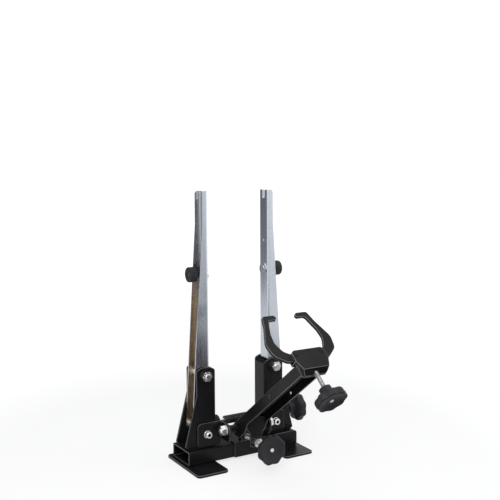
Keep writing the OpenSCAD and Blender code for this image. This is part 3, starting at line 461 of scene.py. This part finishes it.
def loft(name, rings, closed=False):
    """A skin over rings, an array of (rings, points round, 3). Open rows get flat ends."""
    count, around = rings.shape[:2]
    faces = []
    for i in range(count if closed else count - 1):
        here, there = i * around, (i + 1) % count * around
        for j in range(around):
            k = (j + 1) % around
            faces.append((here + j, here + k, there + k, there + j))
    if not closed:
        faces.append(tuple(range(around - 1, -1, -1)))
        faces.append(tuple((count - 1) * around + j for j in range(around)))
    return add_mesh(name, rings.reshape(-1, 3), faces)


class Axis:
    """A line with a direction, on which turned pieces are laid out."""

    def __init__(self, origin, direction):
        self.origin = np.array(origin, float)
        self.along = np.array(direction, float) / np.linalg.norm(direction)
        aside = (0, 0, 1) if abs(self.along[2]) < NEAR_VERTICAL else (1, 0, 0)
        self.u = np.cross(self.along, aside)
        self.u /= np.linalg.norm(self.u)
        self.v = np.cross(self.along, self.u)

    def reach(self, node):
        """Lowest and highest place of a node along the axis."""
        points = np.array([v.co for v in frame["nodes"][node].data.vertices], float)
        places = (points - self.origin) @ self.along
        return places.min(), places.max()

    def radius(self, node):
        """Largest distance of a node from the axis."""
        points = np.array([v.co for v in frame["nodes"][node].data.vertices], float) - self.origin
        return np.linalg.norm(points - np.outer(points @ self.along, self.along), axis=1).max()

    def points(self, place, radius, angle):
        """Points from places, radii and angles, each a number or an array."""
        place, radius, angle = np.broadcast_arrays(place, radius, angle)
        out = self.u * np.cos(angle)[..., None] + self.v * np.sin(angle)[..., None]
        return self.origin + place[..., None] * self.along + radius[..., None] * out

    def bored(self, name, profile, around):
        """A turned skin from (place, radius) points, the radius a number or a function of the
        angle. The profile goes round, so its ends join along the bore."""
        angle = np.arange(around) * FULL_TURN / around
        place = np.array([p[0] for p in profile])[:, None]
        radius = np.array([p[1](angle) if callable(p[1]) else p[1] + 0 * angle for p in profile])
        return loft(name, self.points(place, radius, angle), closed=True)


def joint_axis(name, towards):
    """The axis of a joint, pointing at a node."""
    joint = JOINTS[name]
    line = Axis(joint["pos_m"], joint["axis"])
    if sum(line.reach(towards)) < 0:
        line = Axis(joint["pos_m"], -line.along)
    return line


def finish(piece, body, slot, stands_for, material=None):
    """Gives a new piece its finish and puts it on its body, for the nodes it stands for."""
    piece.data.materials.append(material or FINISHES[slot])
    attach(piece, body)
    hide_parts(*stands_for)
    return piece


# ---- The nodes that keep their mesh ----


def round_edges(node, width, edge_highlight_finish=None):
    """Breaks the sharp edges of a node, as paint or tumbling does. The mesh is welded and its
    flat faces are joined first, so that no thin triangle turns over in the bevel."""
    piece = frame["nodes"][node]
    weld = piece.modifiers.new("weld", "WELD")
    weld.merge_threshold = WELD_WITHIN
    flats = piece.modifiers.new("flats", "DECIMATE")
    flats.decimate_type = "DISSOLVE"
    flats.angle_limit = math.radians(FLAT_ANGLE)
    bevel = piece.modifiers.new("edge", "BEVEL")
    bevel.width = width
    bevel.segments = BEVEL_SEGMENTS
    bevel.limit_method = "ANGLE"
    bevel.angle_limit = math.radians(BEVEL_ANGLE)
    bevel.use_clamp_overlap = False
    bevel.miter_outer = "MITER_ARC"
    bevel.harden_normals = True
    # The rounded faces take the lighter edge finish, a painted highlight along the edges
    if edge_highlight_finish is not None:
        piece.data.materials.append(edge_highlight_finish)
        bevel.material = len(piece.material_slots) - 1


def paint(node, material):
    """Gives every face of a node one material."""
    piece = frame["nodes"][node]
    if not piece.material_slots:
        piece.data.materials.append(material)
    for place in piece.material_slots:
        place.material = material


# ---- Knobs, nuts, screws and spring ----


def knob_outline(outer, inset=0.0):
    """Radius of a knob round its axis: hollows between the lobes, with softened corners."""

    def radius(angle):
        sector = FULL_TURN / KNOB_LOBES
        off = (angle + sector / 2) % sector - sector / 2
        middle = outer + KNOB_HOLLOW_R - KNOB_HOLLOW
        reach = np.clip(KNOB_HOLLOW_R**2 - (middle * np.sin(off)) ** 2, 0, None)
        hollow = np.where(reach > 0, middle * np.cos(off) - np.sqrt(reach), outer)
        sharp = np.minimum(hollow, outer)
        shifts = range(-KNOB_SOFTEN, KNOB_SOFTEN + 1)
        return sum(np.roll(sharp, k) for k in shifts) / len(shifts) - inset

    return radius


def fluted(radius, depth, count, sharpness=1.0):
    """Radius of a neck or nut with flutes, the first hollow at angle 0."""

    def of(angle):
        wave = 0.5 + 0.5 * np.cos(count * angle)
        return radius - depth * wave**sharpness

    return of


def quarter(place, radius, turn_in):
    """Steps of a rounded edge as (place, inset) pairs; turn_in is True where it ends a side."""
    steps = np.linspace(0, math.pi / 2, QUARTER_STEPS)
    pairs = [(place + radius * (1 - math.cos(t)), radius * (1 - math.sin(t))) for t in steps]
    return [(2 * place - p, inset) for p, inset in reversed(pairs)] if turn_in else pairs


def knob(name, node, body, joint):
    """A lobed knob: fluted neck, flared back, straight side, rounded edge and dished front."""
    line = joint_axis(joint, node)
    start, end = line.reach(node)
    outer = line.radius(node)
    back = start + KNOB_NECK_L
    dish = end - KNOB_DISH
    lip = outer - KNOB_DISH_EDGE
    bore = SCREW_R + KNOB_BORE_PLAY

    def neck(out):
        return fluted(KNOB_NECK_R + out, KNOB_FLUTE, KNOB_LOBES)

    profile = [(start, bore)]
    profile += [(start + along, KNOB_NECK_R + out) for along, out in KNOB_NECK_END]
    profile += [(start + KNOB_FLUTE_FROM, neck(0))]
    profile += [(back + along, neck(out)) for along, out in KNOB_NECK_ROOT]
    profile += [(back + along, knob_outline(outer, inset)) for along, inset in KNOB_FLARE]
    profile += [(back + (end - back) * KNOB_SIDE, knob_outline(outer))]
    profile += [(place, knob_outline(outer, inset)) for place, inset in quarter(end, KNOB_EDGE, True)]
    profile += [(end - deep, lip + out) for deep, out in KNOB_DISH_LIP]
    profile += [(dish + up, KNOB_NECK_R + out) for up, out in KNOB_DISH_FOOT]
    profile += [(dish, bore)]
    return finish(line.bored(name, profile, KNOB_AROUND), body, "black_plastic", [node])


def thumb_nut(name, node, body, outward):
    """Ribbed nut on a plain neck, with the stud showing inside its bore."""
    low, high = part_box(node)
    line = Axis((low + high) / 2, (outward, 0, 0))
    start, end = line.reach(node)
    outer = line.radius(node)
    face = start + THUMB_NECK_L

    def ribbed(inset):
        return fluted(outer - inset, THUMB_RIB_DEPTH, THUMB_RIBS, THUMB_RIB_SHARPNESS)

    profile = [(start, STUD_HOLE_R), (start, THUMB_NECK_R - THUMB_NECK_EDGE),
               (start + THUMB_NECK_EDGE, THUMB_NECK_R), (face - THUMB_NECK_ROOT, THUMB_NECK_R),
               (face, THUMB_NECK_R + THUMB_NECK_ROOT)]
    profile += [(place, ribbed(inset)) for place, inset in quarter(face, THUMB_EDGE, False)]
    profile += [(place, ribbed(inset)) for place, inset in quarter(end, THUMB_EDGE, True)]
    profile += [(end, THUMB_DISH_LIP * outer), (end - THUMB_DISH, THUMB_DISH_FOOT * outer),
                (end - THUMB_DISH, STUD_HOLE_R)]
    return finish(line.bored(name, profile, THUMB_AROUND), body, "black_plastic", [node])


def threaded(line, start, end, major, pitch, hand=1):
    """Rings of a thread between two places, its ends chamfered."""
    depth = THREAD_DEPTH * pitch
    rows = int((end - start) / pitch * THREAD_STEPS) + 1
    place = np.linspace(start, end, rows)[:, None]
    angle = (np.arange(SCREW_AROUND) * FULL_TURN / SCREW_AROUND)[None, :]
    phase = (place / pitch - hand * angle / FULL_TURN) % 1.0
    ridge = np.clip(THREAD_FLANK * (1 - np.abs(2 * phase - 1)) - THREAD_ROOT, 0, 1)
    from_end = np.minimum(place - start, end - place)
    radius = np.minimum(major - depth * (1 - ridge), major - depth + from_end)
    return line.points(place, radius, angle)


def shank(line, places):
    """Rings of a turned shank from (place, radius) points."""
    angle = (np.arange(SCREW_AROUND) * FULL_TURN / SCREW_AROUND)[None, :]
    return np.concatenate([line.points(np.array([[p]]), np.array([[r]]), angle) for p, r in places])


def bright_end(piece):
    """The face that shows in the knob's dish gets the plain, lighter zinc, not the thread's darker
    zinc: a loft's last polygon.
    """
    piece.data.materials.append(FINISHES["zinc_plate"])
    piece.data.polygons[-1].material_index = 1
    return piece


def screw(name, node, body, joint, knob_node, tip):
    """A screw with its turned tip, its thread up to the neck of its knob, and a bright face."""
    line = joint_axis(joint, knob_node)
    start, end = line.reach(node)
    neck = line.reach(knob_node)[0]
    rings = np.concatenate([
        shank(line, [(start + place, radius) for place, radius in tip]),
        threaded(line, start + tip[-1][0], neck - THREAD_STOP, SCREW_R, SCREW_PITCH),
        shank(line, [(neck - SHANK_START, SCREW_R), (end - END_CHAMFER, SCREW_R),
                     (end, SCREW_R - END_CHAMFER)]),
    ])
    return bright_end(finish(loft(name, rings), body, "zinc_plate", [node], SCREW_FINISH))


def width_rod():
    """The width screw: left-hand and right-hand thread past the spring, and the knob's neck."""
    line = joint_axis("width_knob_turn", "width_knob")
    start, end = line.reach("width_rod")
    neck = line.reach("width_knob")[0] - THREAD_STOP
    thread_in = line.reach("rod_spring")[1] + ROD_THREAD_GAP
    rings = np.concatenate([
        threaded(line, start, -thread_in, ROD_R, ROD_PITCH, hand=-1),
        threaded(line, thread_in, -start, ROD_R, ROD_PITCH),
        shank(line, [(-start + ROD_PLAIN, ROD_R), (neck, ROD_R), (neck, SCREW_R),
                     (end - END_CHAMFER, SCREW_R), (end, SCREW_R - END_CHAMFER)]),
    ])
    rod = loft("width_rod_thread", rings)
    return bright_end(finish(rod, "width_screw", "zinc_plate", ["width_rod"], SCREW_FINISH))


def spring():
    """One wire, its ends straight, then a bend into the coil."""
    line = joint_axis("width_knob_turn", "width_knob")
    half = line.reach("rod_spring")[1]
    points = [(-half, math.pi), (-half + 2 * SPRING_WIRE_R, math.pi)]
    step = SPRING_BEND_L / SPRING_BEND_STEPS
    for i in range(SPRING_BEND_STEPS):
        slope = (i + 0.5) / SPRING_BEND_STEPS * math.pi / 2
        place, angle = points[-1]
        points.append((place + step * math.cos(slope), angle + step * math.sin(slope) / SPRING_R))
    place, angle = points[-1]
    total = SPRING_TURNS * SPRING_TURN_STEPS
    coil = [(place * (1 - 2 * i / total), angle + FULL_TURN * i / SPRING_TURN_STEPS)
            for i in range(1, total)]
    last = 2 * angle + FULL_TURN * SPRING_TURNS
    points += coil + [(-p, last - a) for p, a in reversed(points)]
    path = np.array([line.points(p, SPRING_R, a) for p, a in points])
    tangent = np.gradient(path, axis=0)
    tangent /= np.linalg.norm(tangent, axis=1)[:, None]
    away = path - line.origin - np.outer((path - line.origin) @ line.along, line.along)
    away -= (away * tangent).sum(1)[:, None] * tangent
    away /= np.linalg.norm(away, axis=1)[:, None]
    across = np.cross(tangent, away)
    around = (np.arange(SPRING_WIRE_AROUND) * FULL_TURN / SPRING_WIRE_AROUND)[None, :, None]
    out = away[:, None] * np.cos(around) + across[:, None] * np.sin(around)
    wire = loft("rod_spring_wire", path[:, None] + SPRING_WIRE_R * out)
    return finish(wire, "width_screw", "black_spring", ["rod_spring"])


# ---- Light, floor and camera ----


def background_rays(tree):
    """1 for the rays that see the background: camera, glossy and transmission rays."""
    path = tree.nodes.new("ShaderNodeLightPath")
    seen = path.outputs["Is Camera Ray"]
    for name in ("Is Glossy Ray", "Is Transmission Ray"):
        both = tree.nodes.new("ShaderNodeMath")
        both.operation = "MAXIMUM"
        tree.links.new(seen, both.inputs[0])
        tree.links.new(path.outputs[name], both.inputs[1])
        seen = both.outputs[0]
    return seen


def set_world():
    """White where it is seen, and a softer bluish light on everything."""
    world = bpy.data.worlds.new("studio")
    bpy.context.scene.world = world
    world.use_nodes = True
    tree = world.node_tree
    soft = tree.nodes["Background"]
    soft.inputs["Color"].default_value = (*AMBIENT, 1)
    soft.inputs["Strength"].default_value = AMBIENT_STRENGTH
    white = tree.nodes.new("ShaderNodeBackground")
    white.inputs["Color"].default_value = (1, 1, 1, 1)
    mix = tree.nodes.new("ShaderNodeMixShader")
    tree.links.new(background_rays(tree), mix.inputs[0])
    tree.links.new(soft.outputs[0], mix.inputs[1])
    tree.links.new(white.outputs[0], mix.inputs[2])
    tree.links.new(mix.outputs[0], tree.nodes["World Output"].inputs["Surface"])


def floor(level):
    """Pale floor, seen white far off; near the object a part of its white is lit, so that the
    object's shadow shows."""
    bpy.ops.mesh.primitive_plane_add(size=FLOOR_SIZE, location=(0, 0, level))
    plane = bpy.context.object
    plane.name = "floor"
    f = Finish("pale_floor", specular=0.0)
    f.shader.inputs["Base Color"].default_value = (FLOOR_COLOUR, FLOOR_COLOUR, FLOOR_COLOUR, 1)
    f.shader.inputs["Roughness"].default_value = FLOOR_ROUGH
    reach = f.node("ShaderNodeVectorMath", {0: f.coords}, operation="LENGTH").outputs["Value"]
    glow = f.node(
        "ShaderNodeEmission", {"Strength": f.span(reach, *FLOOR_GLOW_SPAN, FLOOR_GLOW, 1.0)}
    )
    lit = f.node("ShaderNodeBsdfDiffuse", {"Color": (FLOOR_LIT, FLOOR_LIT, FLOOR_LIT, 1)})
    seen = f.node("ShaderNodeAddShader", {0: lit.outputs[0], 1: glow.outputs[0]})
    mix = f.node("ShaderNodeMixShader", {
        0: background_rays(f.tree), 1: f.shader.outputs[0], 2: seen.outputs[0],
    })
    f.tree.links.new(mix.outputs[0], f.tree.nodes["Material Output"].inputs["Surface"])
    plane.data.materials.append(f.material)


def aim(thing, target):
    """Turns a lamp or card to face a point."""
    thing.rotation_mode = "QUATERNION"
    thing.rotation_quaternion = (Vector(target) - thing.location).to_track_quat("-Z", "Y")


def softbox(name, place, size, brightness, target):
    """An area lamp whose face is brightness times white."""
    data = bpy.data.lights.new(name, "AREA")
    data.shape = "RECTANGLE"
    data.size, data.size_y = size
    data.energy = brightness * math.pi * size[0] * size[1]
    lamp = bpy.data.objects.new(name, data)
    bpy.context.scene.collection.objects.link(lamp)
    lamp.location = place
    aim(lamp, target)


def flag(name, place, size, shade, target):
    """A dark studio card that only reflections see."""
    bpy.ops.mesh.primitive_plane_add(size=1, location=place)
    card = bpy.context.object
    card.name = name
    card.scale = (*size, 1)
    aim(card, target)
    material = bpy.data.materials.new(name)
    material.use_nodes = True
    material.node_tree.nodes.clear()
    glow = material.node_tree.nodes.new("ShaderNodeEmission")
    glow.inputs["Color"].default_value = (*shade, 1)
    output = material.node_tree.nodes.new("ShaderNodeOutputMaterial")
    material.node_tree.links.new(glow.outputs[0], output.inputs["Surface"])
    card.data.materials.append(material)
    card.visible_camera = False
    card.visible_diffuse = False
    card.visible_shadow = False
    card.visible_transmission = False


def camera():
    """The camera that took the photograph."""
    data = bpy.data.cameras.new("camera")
    data.lens = CAMERA_LENS
    data.sensor_width = CAMERA_SENSOR_W
    data.clip_start, data.clip_end = CAMERA_CLIP
    made = bpy.data.objects.new("camera", data)
    bpy.context.scene.collection.objects.link(made)
    forward = Vector((
        math.sin(CAMERA_YAW) * math.cos(CAMERA_PITCH),
        math.cos(CAMERA_YAW) * math.cos(CAMERA_PITCH),
        -math.sin(CAMERA_PITCH),
    ))
    level = Vector((math.cos(CAMERA_YAW), -math.sin(CAMERA_YAW), 0))
    upright = level.cross(forward)
    right = math.cos(CAMERA_ROLL) * level + math.sin(CAMERA_ROLL) * upright
    up = right.cross(forward)
    turn = Matrix((right, up, -forward)).transposed().to_4x4()
    made.matrix_world = Matrix.Translation(CAMERA_AT) @ turn
    bpy.context.scene.camera = made


# ---- The scene ----

camera()

upright_low, upright_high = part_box("upright_right")
web_in, web_out = (upright_low.x + deep for deep in INSIDE_FROM_WEB)
flange_in = (upright_high.y - upright_low.y) / 2 - INSIDE_FROM_FLANGE
inside = channel_inside_reflection(web_in, web_out, flange_in)
adapter_z = sum(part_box("adapter_nut_left"), Vector()).z / 2
reflection_span = (adapter_z - REFLECTION_BELOW, adapter_z + REFLECTION_ABOVE)
screws_low, screws_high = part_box("mount_screws")
head_r = (screws_high.z - screws_low.z) / 2
sockets = socket_shade_mask(screws_high.x - head_r, (screws_low.z + screws_high.z) / 2, screws_low.y)

FINISHES = {
    "black_paint": black_paint("black_paint", PAINT_COLOURS, PAINT_ROUGH, PAINT_SPECULAR),
    "black_plastic": black_plastic(),
    "chrome_plate": chrome_plate("chrome_plate"),
    "zinc_plate": zinc_plate("zinc_plate", ZINC_COLOURS),
    "plain_steel": plain_steel(),
    "black_spring": black_spring(),
}
# The coat again with lighter colours for the rounded edges: a painted highlight
PAINT_EDGE_HIGHLIGHT = black_paint(
    "black_paint_edge_highlight", PAINT_EDGE_HIGHLIGHT_COLOURS, PAINT_EDGE_ROUGH, PAINT_EDGE_SPECULAR
)
SCREW_FINISH = zinc_plate("thread_zinc", ZINC_THREAD_COLOURS)

for slot, nodes in SLOT_NODES.items():
    for node in nodes:
        paint(node, FINISHES[slot])
# The screw heads' sockets get painted shade
paint("mount_screws", zinc_plate("socket_zinc", ZINC_HEAD_COLOURS, sockets))
# The uprights' chrome, with a painted reflection on their inner faces
upright_finish = chrome_plate("upright_chrome", inside, reflection_span)
for node in ("upright_left", "upright_right"):
    paint(node, upright_finish)

for width, nodes in PAINTED_EDGES.items():
    for node in nodes:
        round_edges(node, width, PAINT_EDGE_HIGHLIGHT)
for width, nodes in METAL_EDGES.items():
    for node in nodes:
        round_edges(node, width)

knob("width_knob_moulding", "width_knob", "width_screw", "width_knob_turn")
knob("height_knob_moulding", "height_knob", "height_screw", "height_knob_turn")
knob("jaw_knob_moulding", "jaw_knob", "jaw_screw", "jaw_knob_turn")
thumb_nut("adapter_nut_left_ribbed", "adapter_nut_left", "upright_left", -1)
thumb_nut("adapter_nut_right_ribbed", "adapter_nut_right", "upright_right", 1)
screw("height_screw_thread", "height_screw", "height_screw", "height_knob_turn", "height_knob",
      [(0, SCREW_NECK_R), (HEIGHT_SPIGOT_L, SCREW_NECK_R)])
screw("jaw_screw_thread", "jaw_screw", "jaw_screw", "jaw_knob_turn", "jaw_knob",
      [(0, JAW_COLLAR_R), (JAW_COLLAR_L, JAW_COLLAR_R), (JAW_COLLAR_L, SCREW_NECK_R),
       (JAW_COLLAR_L + JAW_NECK_L, SCREW_NECK_R)])
width_rod()
spring()

floor_z = cad_box[0].z
middle = (cad_box[0] + cad_box[1]) / 2
set_world()
floor(floor_z)
for name, (place, size, brightness) in SOFTBOXES.items():
    softbox(name, place, size, brightness, middle)
for name, (place, size, shade) in FLAGS.items():
    flag(name, place, size, shade, middle)
flag("floor_flag", (*FLOOR_FLAG_AT, floor_z + FLOOR_FLAG_LIFT), FLOOR_FLAG_SIZE, FLOOR_FLAG_SHADE,
     (*FLOOR_FLAG_AT, 1))

bpy.context.scene.view_settings.view_transform = "Standard"
